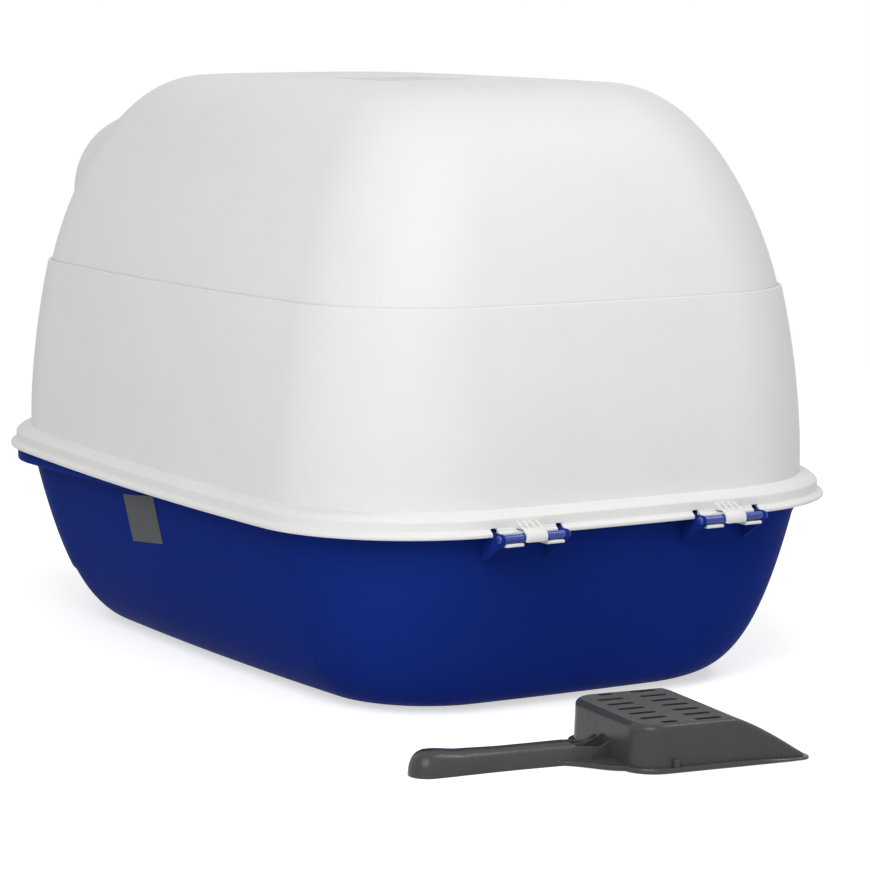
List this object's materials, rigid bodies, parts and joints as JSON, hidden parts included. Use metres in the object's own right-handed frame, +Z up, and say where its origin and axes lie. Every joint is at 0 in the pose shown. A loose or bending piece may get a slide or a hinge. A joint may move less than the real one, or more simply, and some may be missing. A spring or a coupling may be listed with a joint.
{
  "type": "covered litter box",
  "caption": "Deep tapered tray under a hinged domed hood with an arched front entrance, a swinging door flap, front latches, a roof filter and a slotted scoop.",
  "frame": {"origin": "on the floor under the middle of the tray", "axes": "+Z up, entrance towards -Y, hinges towards +Y, +X to the right seen from the entrance"},
  "size_m": [0.474, 0.8533, 0.449],
  "materials": {
    "tray_blue": "satin moulded",
    "hood_white": "satin moulded",
    "label_grey": "matt film",
    "flap_clear": "translucent moulded",
    "filter_black": "carbon felt",
    "scoop_grey": "satin moulded"
  },
  "bodies": {
    "base": {"base_tray": "tray_blue", "hinge_bar_left": "tray_blue", "hinge_bar_right": "tray_blue", "blank_label": "label_grey"},
    "hood": {"hood_skirt": "hood_white", "latch_pin_left": "hood_white", "latch_pin_right": "hood_white"},
    "dome": {"dome": "hood_white", "filter_tray": "hood_white", "carbon_filter": "filter_black"},
    "door": {"door_flap": "flap_clear"},
    "latch_left": {"latch_left": "tray_blue"},
    "latch_right": {"latch_right": "tray_blue"},
    "scoop": {"scoop": "scoop_grey"}
  },
  "joints": [
    {"name": "hood_hinge", "type": "hinge", "parent": "base", "child": "hood", "pos_m": [0, 0.3375, 0.1395], "axis": [-1, 0, 0], "range_deg": [0, 95]},
    {"name": "dome_lift", "type": "slide", "parent": "hood", "child": "dome", "axis": [0, 0, 1], "range_m": [0, 0.12]},
    {"name": "door_swing", "type": "hinge", "parent": "dome", "child": "door", "pos_m": [0, -0.2941, 0.396], "axis": [1, 0, 0], "range_deg": [-75, 75]},
    {"name": "latch_left_turn", "type": "hinge", "parent": "hood", "child": "latch_left", "pos_m": [-0.085, -0.34073, 0.15], "axis": [1, 0, 0], "range_deg": [-70, 20]},
    {"name": "latch_right_turn", "type": "hinge", "parent": "hood", "child": "latch_right", "pos_m": [0.085, -0.34073, 0.15], "axis": [1, 0, 0], "range_deg": [-70, 20]},
    {"name": "scoop_lift", "type": "slide", "parent": "base", "child": "scoop", "axis": [0, 0, 1], "range_m": [0, 0.06]}
  ]
}
